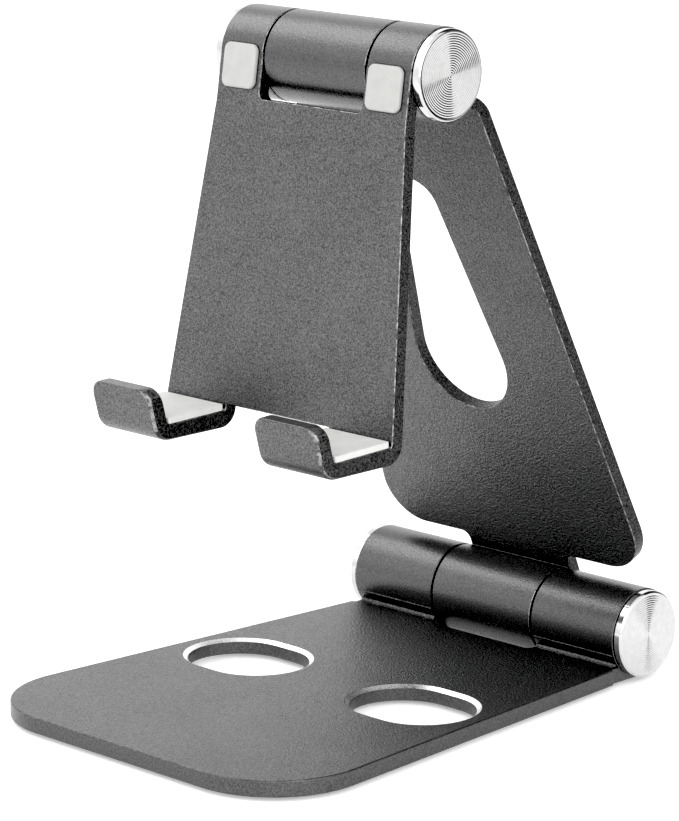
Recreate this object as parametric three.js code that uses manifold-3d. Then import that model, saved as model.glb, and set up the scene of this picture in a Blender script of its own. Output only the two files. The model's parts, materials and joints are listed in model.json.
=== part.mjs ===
// Folding desk stand for a phone: a flat base, a leaning support arm and a device holder with two
// front hooks, joined by two friction hinges whose barrels are closed with turned metal caps.
// Units are millimetres, +Z is up, +X runs along the hinges and -Y is the front of the stand.

import * as THREE from 'three';
import * as BufferGeometryUtils from 'three/addons/utils/BufferGeometryUtils.js';
import Module from 'manifold-3d';

const wasm = await Module();
wasm.setup();

// ---------------------------------------------------------------- driving dimensions

const RAD = Math.PI / 180;

// Hinge barrels, the same on both hinges.
const BARREL_R = 10.0;
const CENTRE_HALF = 14.9;            // half-length of the arm's barrels
const JOINT_GAP = 0.5;               // between neighbouring barrel ends
const OUTER_START = CENTRE_HALF + JOINT_GAP;
const BORE_R = 3.08;
const POCKET_R = 7.0;                // counterbore that hides the bolt head and the nut

// Base.
const FOOT_DROP = 0.7;               // how far the feet stand out of the underside
const BASE_THICK = 3.6;
const BASE_TOP = FOOT_DROP + BASE_THICK;
const BASE_FRONT_Y = -121.7;         // measured from the lower hinge axis
const BASE_FRONT_HALF = 48.2;
const BASE_REAR_HALF = 39.3;         // also the outer end of the lower barrels
const BASE_CORNER_R = 21.0;
const NOTCH_FRONT_Y = -10.6;
const NOTCH_CORNER_R = 1.5;          // inner corners of both notches
const CAP_RELIEF_Y = -10.15;         // the plate steps in beside the end caps
const HOLE_CENTRE_X = 25.2;
const HOLE_CENTRE_Y = -58.9;
const HOLE_HALF_LENGTH = 15.5;
const HOLE_HALF_WIDTH = 12.7;
const CHAMFER_WIDE = 1.1;
const CHAMFER_DEEP = 0.7;

// Lower hinge axis and arm.
const LOWER_AXIS_Z = FOOT_DROP + BARREL_R;
const ARM_LEAN = 22.54 * RAD;        // forwards from upright
const ARM_LENGTH = 139.3;            // from hinge axis to hinge axis
const ARM_THICK = 3.2;
const ARM_BOTTOM = 10.8;             // lower edge of the wide plate, along the arm
const ARM_TOP = 128.5;
const ARM_BOTTOM_HALF = 39.05;
const ARM_TOP_HALF = 27.35;
const ARM_BOTTOM_R = 10.0;
const ARM_TOP_R = 4.0;
const ARM_NECK_R = 2.0;              // where the wide plate narrows to the barrels
const ARM_WINDOW_LOW = { along: 61.0, r: 13.0 };
const ARM_WINDOW_HIGH = { along: 100.3, r: 6.7 };

// Holder.
const HOLDER_TILT = -8.71 * RAD;     // bottom edge forwards
const HOLDER_THICK = 3.2;
const HOLDER_END = 27.93;            // outer end of the upper barrels
const HOLDER_SHOULDER = 11.0;
const HOLDER_DROP = 75.6;            // lower edge between the hooks, below the upper axis
const HOLDER_BOTTOM_HALF = 33.9;
const HOLDER_NOTCH = 9.8;
const HOLDER_NOTCH_HALF = OUTER_START - 0.2;
const HOOK_INNER_X = 15.3;
const HOOK_OUTER_X = 33.9;
const HOOK_START = 75.0;
const HOOK_FLOOR_SLOPE = 9.4 * RAD;
const HOOK_FLOOR_THICK = 3.5;
const HOOK_CORNER = { out: 28.8, down: 83.84 };
const LIP_THICK = 3.6;
const LIP_TIP_FRONT = { out: 33.55, down: 72.75 };
const LIP_TIP_REAR_DOWN = 72.1;
const LIP_CORNER_R = 4.2;
const HOOK_OUTER_RADII = [0, 4.4, 4.8, 0.6];  // plate, heel, lip bend and lip tip
const HOOK_INNER_RADII = [0, 1.3, 1.4, 0.6];

// Caps, pads and feet.
const CAP = { radius: 9.75, thick: 1.9, chamfer: 0.35 };
const SPIGOT = { radius: 6.75, wall: 1.2, length: 2.6 };
const PIECE_GAP = 0.2;
const SEAT_GAP = 0.3;                // round a pad or a foot that sits in a shallow recess
const TOP_PAD = { x: 21.3, size: 9.6, radius: 1.7, thick: 1.2, proud: 1.0 };
const TOP_PAD_DOWN = { left: 3.3, right: 4.0 };
const HOOK_PAD = { thick: 1.2, end: 1.5, side: 0.3 };
const FOOT = { wide: 16.0, deep: 8.0, radius: 3.5, thick: 1.2 };
const FEET = [
  { name: 'foot_front_left', x: -33.0, y: -108.0 },
  { name: 'foot_front_right', x: 33.0, y: -108.0 },
  { name: 'foot_rear_left', x: -30.0, y: -20.0 },
  { name: 'foot_rear_right', x: 30.0, y: -20.0 },
];

// Hinge hardware.
const FRICTION_WASHER = { inner: 3.3, outer: 7.0, thick: 1.0, seat: 0.8, clear: 0.15 };
const FRICTION_SEAT_R = FRICTION_WASHER.outer + 0.4;
const PLAIN_WASHER = { inner: 3.2, outer: 6.0 };
const SPRING_WASHER = { inner: 3.2, outer: 6.0, sheet: 0.6, cone: 0.4 };
const BOLT = { shank: 3.0, head: 5.0, edge: 0.4, socket: 2.6, past: 0.4, tip: 0.5 };
const NUT = { flat: 5.0, bore: 3.1 };

// Stations of the hardware along each hinge, measured from the middle.
const LOWER_STACK = { end: BASE_REAR_HALF, floor: 27.3, washer: 1.0, head: 6.0, nut: 5.0 };
const UPPER_STACK = { end: HOLDER_END, floor: 19.4, washer: 0.8, head: 3.4, nut: 2.9 };

const SIDES = [[-1, 'left'], [1, 'right']];
const OVERCUT = 1.0;                 // how far a cutting solid runs past the face it opens
const FAR = 100.0;                   // reach of a trimming solid beyond everything else
const BARREL_SIDES = 48;
const SMALL_SIDES = 24;

// ---------------------------------------------------------------- materials

function metal(color, roughness, metalness) {
  return new THREE.MeshStandardMaterial({ color, roughness, metalness });
}

const greyAnodised = () => metal(0x55565a, 0.55, 0.85);
const spunAluminium = () => metal(0xd9dadc, 0.25, 1.0);
const zincSteel = () => metal(0xa8abad, 0.35, 1.0);
const springSteel = () => metal(0x6e6f70, 0.4, 1.0);
const whiteNylon = () => new THREE.MeshStandardMaterial({ color: 0xe9e7df, roughness: 0.6 });
const paleSilicone = () => new THREE.MeshStandardMaterial({ color: 0xdcdcd6, roughness: 0.85 });
const darkSilicone = () => new THREE.MeshStandardMaterial({ color: 0x2d2d2f, roughness: 0.9 });

// ---------------------------------------------------------------- solids

/** Closed three.js geometry to a manifold solid. */
function toSolid(geometry) {
  const bare = geometry.clone();
  bare.deleteAttribute('normal');
  bare.deleteAttribute('uv');
  const merged = BufferGeometryUtils.mergeVertices(bare, 1e-5);
  return new wasm.Manifold(new wasm.Mesh({
    numProp: 3,
    vertProperties: new Float32Array(merged.attributes.position.array),
    triVerts: new Uint32Array(merged.index.array),
  }));
}

/** Manifold solid back to a three.js geometry. */
function toGeometry(solid) {
  const mesh = solid.getMesh();
  const geometry = new THREE.BufferGeometry();
  geometry.setAttribute('position', new THREE.BufferAttribute(mesh.vertProperties, 3));
  geometry.setIndex(new THREE.BufferAttribute(mesh.triVerts, 1));
  geometry.computeVertexNormals();
  return geometry;
}

function piece(name, solid, material) {
  const mesh = new THREE.Mesh(toGeometry(solid), material);
  mesh.name = name;
  return mesh;
}

/** Solid of revolution about X from [along x, radius] pairs that form a closed loop. */
function turned(profile, sides = SMALL_SIDES) {
  const loop = [...profile, profile[0]];
  const points = loop.map(([x, r]) => new THREE.Vector2(r, x));
  const geometry = new THREE.LatheGeometry(points, sides);
  geometry.rotateZ(-Math.PI / 2);
  return toSolid(geometry);
}

/** Round bar about X between two stations. */
function bar(x0, x1, radius, sides = SMALL_SIDES) {
  const geometry = new THREE.CylinderGeometry(radius, radius, x1 - x0, sides);
  geometry.rotateZ(-Math.PI / 2);
  geometry.translate((x0 + x1) / 2, 0, 0);
  return toSolid(geometry);
}

/** Flat ring about X. */
function ring(x0, x1, inner, outer, sides = SMALL_SIDES) {
  return turned([[x0, inner], [x0, outer], [x1, outer], [x1, inner]], sides);
}

/** Closed outline from corners [x, y, radius], each rounded by an arc of that radius. */
function roundedOutline(corners, steps = 6) {
  const points = [];
  const count = corners.length;
  for (let i = 0; i < count; i += 1) {
    const here = new THREE.Vector2(corners[i][0], corners[i][1]);
    const radius = corners[i][2] ?? 0;
    if (radius === 0) {
      points.push(here);
      continue;
    }
    const before = corners[(i + count - 1) % count];
    const after = corners[(i + 1) % count];
    points.push(...arcCorner(here, before, after, radius, steps));
  }
  return new THREE.Shape(points);
}

function arcCorner(here, before, after, radius, steps) {
  const back = new THREE.Vector2(before[0], before[1]).sub(here).normalize();
  const ahead = new THREE.Vector2(after[0], after[1]).sub(here).normalize();
  const half = Math.acos(THREE.MathUtils.clamp(back.dot(ahead), -1, 1)) / 2;
  const start = here.clone().addScaledVector(back, radius / Math.tan(half));
  const middle = back.clone().add(ahead).normalize();
  const centre = here.clone().addScaledVector(middle, radius / Math.sin(half));
  const from = start.sub(centre);
  const turn = Math.sign(back.x * ahead.y - back.y * ahead.x) * (half * 2 - Math.PI);
  const points = [];
  for (let i = 0; i <= steps; i += 1) {
    points.push(from.clone().rotateAround(new THREE.Vector2(), turn * i / steps).add(centre));
  }
  return points;
}

/** Upright prism of an XY outline from z0 to z1. */
function prismZ(shape, z0, z1) {
  const geometry = new THREE.ExtrudeGeometry(shape, { depth: z1 - z0, bevelEnabled: false });
  geometry.translate(0, 0, z0);
  return toSolid(geometry);
}

/** Prism of an XZ outline between y0 and y1. */
function prismY(shape, y0, y1) {
  const geometry = new THREE.ExtrudeGeometry(shape, { depth: y1 - y0, bevelEnabled: false });
  geometry.rotateX(Math.PI / 2);
  geometry.translate(0, y1, 0);
  return toSolid(geometry);
}

/** Prism of a YZ outline between x0 and x1. */
function prismX(shape, x0, x1) {
  const geometry = new THREE.ExtrudeGeometry(shape, { depth: x1 - x0, bevelEnabled: false });
  const turn = new THREE.Matrix4().makeBasis(
    new THREE.Vector3(0, 1, 0),
    new THREE.Vector3(0, 0, 1),
    new THREE.Vector3(1, 0, 0),
  );
  geometry.applyMatrix4(turn);
  geometry.translate(x0, 0, 0);
  return toSolid(geometry);
}

function block(x0, x1, y0, y1, z0, z1) {
  const geometry = new THREE.BoxGeometry(x1 - x0, y1 - y0, z1 - z0);
  geometry.translate((x0 + x1) / 2, (y0 + y1) / 2, (z0 + z1) / 2);
  return toSolid(geometry);
}

/** Rectangle with rounded corners about a centre. */
function roundedRect(cx, cy, wide, high, radius, steps = 5) {
  const x = wide / 2;
  const y = high / 2;
  const corners = [
    [cx + x, cy - y, radius],
    [cx + x, cy + y, radius],
    [cx - x, cy + y, radius],
    [cx - x, cy - y, radius],
  ];
  return roundedOutline(corners, steps);
}

/** Outline round two circles and their common tangents, circles given as [x, y, r]. */
function wrappedCircles(first, second, steps = 12) {
  const along = new THREE.Vector2(second[0] - first[0], second[1] - first[1]);
  const spread = Math.acos((first[2] - second[2]) / along.length());
  const heading = along.angle();
  const points = [];
  for (let i = 0; i <= steps; i += 1) {
    const angle = heading + spread + (2 * Math.PI - 2 * spread) * i / steps;
    points.push(new THREE.Vector2(
      first[0] + first[2] * Math.cos(angle),
      first[1] + first[2] * Math.sin(angle),
    ));
  }
  for (let i = 0; i <= steps; i += 1) {
    const angle = heading - spread + 2 * spread * i / steps;
    points.push(new THREE.Vector2(
      second[0] + second[2] * Math.cos(angle),
      second[1] + second[2] * Math.sin(angle),
    ));
  }
  return new THREE.Shape(points);
}

// ---------------------------------------------------------------- hinge barrels

/** Pair of outer barrels about the local origin, without their bores. */
function outerBarrels(end) {
  const right = bar(OUTER_START, end, BARREL_R, BARREL_SIDES);
  const left = bar(-end, -OUTER_START, BARREL_R, BARREL_SIDES);
  return right.add(left);
}

/** The two stations on one side of the middle, in rising order. */
function stationsOn(side, near, far) {
  return [side * near, side * far].sort((a, b) => a - b);
}

/** Everything cut out of a pair of outer barrels: bore, pockets and friction washer seats. */
function outerBarrelCuts(stack) {
  const seatFloor = OUTER_START + FRICTION_WASHER.seat;
  let cuts = bar(-stack.end, stack.end, BORE_R);
  for (const [side] of SIDES) {
    const pocket = stationsOn(side, stack.floor, stack.end + OVERCUT);
    const seat = stationsOn(side, OUTER_START - OVERCUT, seatFloor);
    cuts = cuts.add(bar(...pocket, POCKET_R));
    cuts = cuts.add(bar(...seat, FRICTION_SEAT_R));
  }
  return cuts;
}

function centreBarrel() {
  return bar(-CENTRE_HALF, CENTRE_HALF, BARREL_R, BARREL_SIDES);
}

/** Socket-head bolt, with its head on the left. */
function hingeBolt(stack) {
  const seat = stack.floor + stack.washer + 2 * PIECE_GAP;
  const head = -seat - stack.head;
  const tip = nutStart(stack) + stack.nut + BOLT.past;
  const body = turned([
    [head, 0],
    [head, BOLT.head - BOLT.edge],
    [head + BOLT.edge, BOLT.head],
    [-seat, BOLT.head],
    [-seat, BOLT.shank],
    [tip - BOLT.tip, BOLT.shank],
    [tip, BOLT.shank - BOLT.tip],
    [tip, 0],
  ]);
  return body.subtract(bar(head - OVERCUT, head + stack.head / 2, BOLT.socket, 6));
}

function nutStart(stack) {
  return stack.floor + stack.washer + 3 * PIECE_GAP + SPRING_WASHER.sheet + SPRING_WASHER.cone;
}

function lockNut(stack) {
  const start = nutStart(stack);
  const end = start + stack.nut;
  const hexagon = bar(start, end, NUT.flat / Math.cos(Math.PI / 6), 6);
  return hexagon.subtract(bar(start - OVERCUT, end + OVERCUT, NUT.bore));
}

/** Cupped spring washer under the nut. */
function springWasher(stack) {
  const start = stack.floor + stack.washer + 2 * PIECE_GAP;
  const { inner, outer, sheet, cone } = SPRING_WASHER;
  return turned([
    [start + cone, inner],
    [start, outer],
    [start + sheet, outer],
    [start + cone + sheet, inner],
  ]);
}

function plainWasher(stack, side) {
  const near = stack.floor + PIECE_GAP;
  const stations = stationsOn(side, near, near + stack.washer);
  return ring(...stations, PLAIN_WASHER.inner, PLAIN_WASHER.outer);
}

function frictionWasher(side) {
  const near = CENTRE_HALF + FRICTION_WASHER.clear;
  const stations = stationsOn(side, near, near + FRICTION_WASHER.thick);
  return ring(...stations, FRICTION_WASHER.inner, FRICTION_WASHER.outer);
}

/** Turned cap: a thin disc with a chamfered rim and a hollow spigot that plugs the pocket. */
function hingeCap(stack, side) {
  const inside = stack.end + PIECE_GAP;
  const outside = inside + CAP.thick;
  const spigotTip = stack.end - SPIGOT.length;
  const spigotBore = SPIGOT.radius - SPIGOT.wall;
  const cap = turned([
    [spigotTip, spigotBore],
    [spigotTip, SPIGOT.radius],
    [inside, SPIGOT.radius],
    [inside, CAP.radius],
    [outside - CAP.chamfer, CAP.radius],
    [outside, CAP.radius - CAP.chamfer],
    [outside, 0],
    [inside, 0],
    [inside, spigotBore],
  ], BARREL_SIDES);
  return side > 0 ? cap : cap.mirror([1, 0, 0]);
}

/** All loose hardware of one hinge, in the frame of its outer barrels. */
function hingeHardware(prefix, stack) {
  const parts = [
    piece(`${prefix}_hinge_bolt`, hingeBolt(stack), zincSteel()),
    piece(`${prefix}_lock_nut`, lockNut(stack), zincSteel()),
    piece(`${prefix}_spring_washer`, springWasher(stack), springSteel()),
  ];
  for (const [side, word] of SIDES) {
    parts.push(piece(`${prefix}_plain_washer_${word}`, plainWasher(stack, side), zincSteel()));
    parts.push(piece(`${prefix}_friction_washer_${word}`, frictionWasher(side), whiteNylon()));
    parts.push(piece(`${prefix}_cap_${word}`, hingeCap(stack, side), spunAluminium()));
  }
  return parts;
}

// ---------------------------------------------------------------- base

/** Plate outline: wider at the front, notched at the rear round the arm's barrel. */
function basePlateOutline() {
  const flare = (BASE_FRONT_HALF - BASE_REAR_HALF) / -BASE_FRONT_Y;
  const shoulder = BASE_REAR_HALF - flare * CAP_RELIEF_Y;
  return roundedOutline([
    [-BASE_FRONT_HALF, BASE_FRONT_Y, BASE_CORNER_R],
    [BASE_FRONT_HALF, BASE_FRONT_Y, BASE_CORNER_R],
    [shoulder, CAP_RELIEF_Y],
    [BASE_REAR_HALF, CAP_RELIEF_Y],
    [BASE_REAR_HALF, 0],
    [OUTER_START, 0],
    [OUTER_START, NOTCH_FRONT_Y, NOTCH_CORNER_R],
    [-OUTER_START, NOTCH_FRONT_Y, NOTCH_CORNER_R],
    [-OUTER_START, 0],
    [-BASE_REAR_HALF, 0],
    [-BASE_REAR_HALF, CAP_RELIEF_Y],
    [-shoulder, CAP_RELIEF_Y],
  ], 9);
}

/** Oval hole with its chamfered upper rim. */
function baseHole(side) {
  const radius = HOLE_HALF_WIDTH - CHAMFER_WIDE;
  const shift = HOLE_HALF_LENGTH - HOLE_HALF_WIDTH;
  const centre = side * HOLE_CENTRE_X;
  const ends = [[centre - shift, HOLE_CENTRE_Y, radius], [centre + shift, HOLE_CENTRE_Y, radius]];
  const outline = wrappedCircles(...ends);
  const rim = new THREE.ExtrudeGeometry(outline, {
    depth: 2 * OVERCUT,
    bevelThickness: CHAMFER_DEEP,
    bevelSize: CHAMFER_WIDE,
    bevelSegments: 1,
  });
  rim.translate(0, 0, BASE_TOP);
  return prismZ(outline, 0, BASE_TOP + OVERCUT).add(toSolid(rim));
}

/** Upright prism of a foot, grown all round by a gap. */
function footSolid(foot, gap) {
  const { wide, deep, radius, thick } = FOOT;
  const shape = roundedRect(foot.x, foot.y, wide + 2 * gap, deep + 2 * gap, radius + gap);
  return prismZ(shape, 0, thick + gap);
}

function basePlate() {
  const cuts = outerBarrelCuts(LOWER_STACK).translate([0, 0, LOWER_AXIS_Z]);
  let solid = prismZ(basePlateOutline(), FOOT_DROP, BASE_TOP);
  solid = solid.add(outerBarrels(BASE_REAR_HALF).translate([0, 0, LOWER_AXIS_Z]));
  solid = solid.subtract(cuts);
  for (const [side] of SIDES) {
    solid = solid.subtract(baseHole(side));
  }
  for (const foot of FEET) {
    solid = solid.subtract(footSolid(foot, SEAT_GAP));
  }
  return solid;
}

// ---------------------------------------------------------------- support arm

/** Arm plate in its own frame: X across, Z along the arm, plate on the rear side of the axes. */
function armOutline() {
  const outline = roundedOutline([
    [CENTRE_HALF, 0],
    [CENTRE_HALF, ARM_BOTTOM, ARM_NECK_R],
    [ARM_BOTTOM_HALF, ARM_BOTTOM, ARM_BOTTOM_R],
    [ARM_TOP_HALF, ARM_TOP, ARM_TOP_R],
    [CENTRE_HALF, ARM_TOP, ARM_NECK_R],
    [CENTRE_HALF, ARM_LENGTH],
    [-CENTRE_HALF, ARM_LENGTH],
    [-CENTRE_HALF, ARM_TOP, ARM_NECK_R],
    [-ARM_TOP_HALF, ARM_TOP, ARM_TOP_R],
    [-ARM_BOTTOM_HALF, ARM_BOTTOM, ARM_BOTTOM_R],
    [-CENTRE_HALF, ARM_BOTTOM, ARM_NECK_R],
    [-CENTRE_HALF, 0],
  ]);
  const low = [0, ARM_WINDOW_LOW.along, ARM_WINDOW_LOW.r];
  const high = [0, ARM_WINDOW_HIGH.along, ARM_WINDOW_HIGH.r];
  outline.holes.push(wrappedCircles(low, high, 16));
  return outline;
}

function supportArm() {
  const plate = prismY(armOutline(), BARREL_R - ARM_THICK, BARREL_R);
  const lower = centreBarrel();
  const upper = centreBarrel().translate([0, 0, ARM_LENGTH]);
  const bore = bar(-CENTRE_HALF - OVERCUT, CENTRE_HALF + OVERCUT, BORE_R);
  return plate
    .add(lower)
    .add(upper)
    .subtract(bore)
    .subtract(bore.translate([0, 0, ARM_LENGTH]));
}

// ---------------------------------------------------------------- device holder

/** Holder plate outline in X and Z, hanging from the upper axis at the origin. */
function holderOutline() {
  return roundedOutline([
    [HOLDER_NOTCH_HALF, 0],
    [HOLDER_NOTCH_HALF, -HOLDER_NOTCH, NOTCH_CORNER_R],
    [-HOLDER_NOTCH_HALF, -HOLDER_NOTCH, NOTCH_CORNER_R],
    [-HOLDER_NOTCH_HALF, 0],
    [-HOLDER_END, 0],
    [-HOLDER_END, -HOLDER_SHOULDER],
    [-HOLDER_BOTTOM_HALF, -HOLDER_DROP],
    [HOLDER_BOTTOM_HALF, -HOLDER_DROP],
    [HOLDER_END, -HOLDER_SHOULDER],
    [HOLDER_END, 0],
  ], 4);
}

/** Outer line of a hook in Y and Z: rear of the plate, underside of the floor, front of the lip. */
function hookOuterLine() {
  const rear = HOLDER_THICK - BARREL_R;
  const rise = (HOOK_CORNER.out + rear) * Math.tan(HOOK_FLOOR_SLOPE);
  return [
    new THREE.Vector2(rear, -HOOK_START),
    new THREE.Vector2(rear, -HOOK_CORNER.down + rise),
    new THREE.Vector2(-HOOK_CORNER.out, -HOOK_CORNER.down),
    new THREE.Vector2(-LIP_TIP_FRONT.out, -LIP_TIP_FRONT.down),
  ];
}

/** Inner line of a hook: front of the plate, top of the floor, rear of the lip. */
function hookInnerLine() {
  const outer = hookOuterLine();
  const thickness = [HOLDER_THICK, HOOK_FLOOR_THICK, LIP_THICK];
  const faces = thickness.map((t, i) => {
    const along = outer[i + 1].clone().sub(outer[i]).normalize();
    const inward = new THREE.Vector2(along.y, -along.x);
    return { point: outer[i].clone().addScaledVector(inward, t), along };
  });
  const tipRise = -LIP_TIP_REAR_DOWN - faces[2].point.y;
  const tip = faces[2].point.clone().addScaledVector(faces[2].along, tipRise / faces[2].along.y);
  return [faces[0].point, crossing(faces[0], faces[1]), crossing(faces[1], faces[2]), tip];
}

/** Crossing point of two lines, each a point and a direction. */
function crossing(a, b) {
  const gap = b.point.clone().sub(a.point);
  const t = gap.cross(b.along) / a.along.cross(b.along);
  return a.point.clone().addScaledVector(a.along, t);
}

/** Side view of a hook as [y, z, corner radius]: plate, sloping floor and upright lip. */
function hookSection() {
  const outer = hookOuterLine().map((p, i) => [p.x, p.y, HOOK_OUTER_RADII[i]]);
  const inner = hookInnerLine().map((p, i) => [p.x, p.y, HOOK_INNER_RADII[i]]);
  return [...outer, ...inner.reverse()];
}

/** Front view limit of a hook, which rounds the two upper corners of its lip. */
function lipMask(near, far) {
  const lip = roundedOutline([
    [near, -FAR],
    [far, -FAR],
    [far, -LIP_TIP_REAR_DOWN, LIP_CORNER_R],
    [near, -LIP_TIP_REAR_DOWN, LIP_CORNER_R],
  ]);
  const front = -HOOK_CORNER.out + 2 * LIP_THICK;
  const rear = block(near, far, front, 0, -FAR, -HOOK_START);
  return prismY(lip, -FAR, front).add(rear);
}

function hook(side) {
  const stations = stationsOn(side, HOOK_INNER_X, HOOK_OUTER_X);
  const strip = prismX(roundedOutline(hookSection(), 4), ...stations);
  return strip.intersect(lipMask(...stations));
}

/** Rounded square of a top pad, grown all round by a gap. */
function topPadShape(side, word, gap) {
  const size = TOP_PAD.size + 2 * gap;
  return roundedRect(side * TOP_PAD.x, -TOP_PAD_DOWN[word], size, size, TOP_PAD.radius + gap);
}

function topPad(side, word) {
  const face = -BARREL_R - TOP_PAD.proud;
  return prismY(topPadShape(side, word, 0), face, face + TOP_PAD.thick);
}

function topPadSeat(side, word) {
  const floor = -BARREL_R - TOP_PAD.proud + TOP_PAD.thick + PIECE_GAP;
  return prismY(topPadShape(side, word, SEAT_GAP), floor - 2 * TOP_PAD.thick, floor);
}

function deviceHolder() {
  let solid = prismY(holderOutline(), -BARREL_R, HOLDER_THICK - BARREL_R);
  solid = solid.add(outerBarrels(HOLDER_END));
  for (const [side, word] of SIDES) {
    solid = solid.add(hook(side));
    solid = solid.subtract(topPadSeat(side, word));
  }
  return solid.subtract(outerBarrelCuts(UPPER_STACK));
}

/** Flat pad that lies along the sloping floor of a hook. */
function hookPad(side) {
  const [, heel, corner] = hookInnerLine();
  const along = corner.clone().sub(heel).normalize();
  const up = new THREE.Vector2(along.y, -along.x);
  const rear = heel.clone().addScaledVector(along, HOOK_PAD.end).addScaledVector(up, PIECE_GAP);
  const front = corner.clone().addScaledVector(along, -HOOK_PAD.end).addScaledVector(up, PIECE_GAP);
  const rise = up.clone().multiplyScalar(HOOK_PAD.thick);
  const shape = new THREE.Shape([rear, front, front.clone().add(rise), rear.clone().add(rise)]);
  return prismX(shape, ...stationsOn(side, HOOK_INNER_X + HOOK_PAD.side, HOOK_OUTER_X - HOOK_PAD.side));
}

// ---------------------------------------------------------------- assembly

function holderGroup() {
  const group = new THREE.Group();
  group.position.z = ARM_LENGTH;
  group.rotation.x = HOLDER_TILT - ARM_LEAN;
  group.add(piece('device_holder', deviceHolder(), greyAnodised()));
  group.add(...hingeHardware('upper', UPPER_STACK));
  for (const [side, word] of SIDES) {
    group.add(piece(`top_pad_${word}`, topPad(side, word), paleSilicone()));
    group.add(piece(`hook_pad_${word}`, hookPad(side), paleSilicone()));
  }
  return group;
}

function armGroup() {
  const group = new THREE.Group();
  group.position.z = LOWER_AXIS_Z;
  group.rotation.x = ARM_LEAN;
  group.add(piece('support_arm', supportArm(), greyAnodised()));
  group.add(holderGroup());
  return group;
}

function lowerHardwareGroup() {
  const group = new THREE.Group();
  group.position.z = LOWER_AXIS_Z;
  group.add(...hingeHardware('lower', LOWER_STACK));
  return group;
}

function standGroup() {
  const group = new THREE.Group();
  group.position.y = -(BASE_FRONT_Y + BARREL_R) / 2;
  group.add(piece('base_plate', basePlate(), greyAnodised()));
  for (const foot of FEET) {
    group.add(piece(foot.name, footSolid(foot, 0), darkSilicone()));
  }
  group.add(lowerHardwareGroup());
  group.add(armGroup());
  return group;
}

const stand = new THREE.Group();
stand.name = 'phone_stand';
stand.add(standGroup());
stand.updateMatrixWorld(true);

export default stand;
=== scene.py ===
import json
import math

import bpy
import bmesh
from mathutils import Matrix, Vector
from mathutils.geometry import tessellate_polygon


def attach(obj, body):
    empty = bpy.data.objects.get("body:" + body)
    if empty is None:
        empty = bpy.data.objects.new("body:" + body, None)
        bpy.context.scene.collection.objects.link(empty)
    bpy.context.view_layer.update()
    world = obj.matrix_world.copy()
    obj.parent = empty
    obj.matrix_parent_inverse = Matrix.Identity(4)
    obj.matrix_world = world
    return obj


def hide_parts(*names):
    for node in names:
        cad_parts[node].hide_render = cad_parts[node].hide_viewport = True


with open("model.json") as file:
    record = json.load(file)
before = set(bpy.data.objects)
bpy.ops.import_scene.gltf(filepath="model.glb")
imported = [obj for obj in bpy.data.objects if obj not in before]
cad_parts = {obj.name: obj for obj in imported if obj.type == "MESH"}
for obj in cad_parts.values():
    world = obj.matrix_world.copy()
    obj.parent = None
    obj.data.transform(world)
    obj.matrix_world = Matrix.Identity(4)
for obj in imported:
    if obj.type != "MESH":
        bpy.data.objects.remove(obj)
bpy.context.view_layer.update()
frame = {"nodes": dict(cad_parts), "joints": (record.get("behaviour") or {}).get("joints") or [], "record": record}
MM = 0.001

# ------------------------------------------------------------------ frames of the three bodies

JOINTS = {j["name"]: Vector(j["pos_m"]) for j in frame["joints"]}
LOWER_AXIS = JOINTS["arm_fold"]
UPPER_AXIS = JOINTS["holder_tilt"]
MOUNTS = {m["name"]: m for m in frame["record"]["mounts"]}

ARM_VECTOR = UPPER_AXIS - LOWER_AXIS
ARM_LEAN = math.atan2(-ARM_VECTOR.y, ARM_VECTOR.z)
ARM_LENGTH = ARM_VECTOR.length / MM
BACK_NORMAL = Vector(MOUNTS["device_back_rest"]["axis"])
HOLDER_TILT = math.atan2(BACK_NORMAL.z, -BACK_NORMAL.y)

BASE_FRAME = Matrix.Translation((0, LOWER_AXIS.y, 0))
LOWER_FRAME = Matrix.Translation(LOWER_AXIS)
ARM_FRAME = Matrix.Translation(LOWER_AXIS) @ Matrix.Rotation(ARM_LEAN, 4, "X")
HOLDER_FRAME = Matrix.Translation(UPPER_AXIS) @ Matrix.Rotation(-HOLDER_TILT, 4, "X")

# ------------------------------------------------------------------ sizes in millimetres

AXIS_Z = LOWER_AXIS.z / MM
SIDES = {"left": -1, "right": 1}

# Plates of the arm and the holder. EDGE is the rounding of every plate's edges.
PLATE_THICK = 3.2
EDGE = 0.35
EDGE_STEPS = 4
CUT_EDGE = 0.02  # rounding of small pieces and cutters, next to nothing

# Hinge barrels: the centre ones are a little short, which leaves a dark line at each end.
BARREL_R = 10.0
BARREL_EDGE = 0.25
CENTRE_HALF = 14.9
CENTRE_SHORT = 0.12
OUTER_START = 15.4
BORE_R = 3.08
POCKET_R = 7.0
SEAT_R = 7.4
SEAT_DEEP = 0.8
LOWER_END = 39.3
UPPER_END = 27.93
LOWER_POCKET = 27.3
UPPER_POCKET = 19.4

# Base, in its frame below the lower axis: y is backwards from the axis, z up from the desk.
FOOT_DROP = 0.7
BASE_TOP = 4.3
BASE_FRONT = -121.7
BASE_HALF = 48.2
BASE_CORNER_R = 21.0
BASE_REAR = -1.0
BASE_RELIEF = -10.15  # step in the outline beside each outer barrel
BASE_NOTCH = -10.6
HOLE_X, HOLE_Y, HOLE_SHIFT, HOLE_R = 25.2, -58.9, 2.8, 11.6
BASE_BEAD = (-9.30, 7.03)  # (y, z) of the raised line above the barrels' fillet
FOOT_SIZE, FOOT_RECESS = (16.0, 8.0), (16.6, 8.6)
FEET = {
    "foot_front_left": (-33.0, -108.0), "foot_front_right": (33.0, -108.0),
    "foot_rear_left": (-30.0, -20.0), "foot_rear_right": (30.0, -20.0),
}

# Arm, in its frame on the lower axis: z is along the arm.
ARM_FOOT = 10.8
ARM_SHOULDER = 128.5
ARM_HALF_LOW = 39.05
ARM_HALF_HIGH = 27.35
WINDOW = ((0, 61.0, 13.0), (0, 100.3, 6.7))

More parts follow.
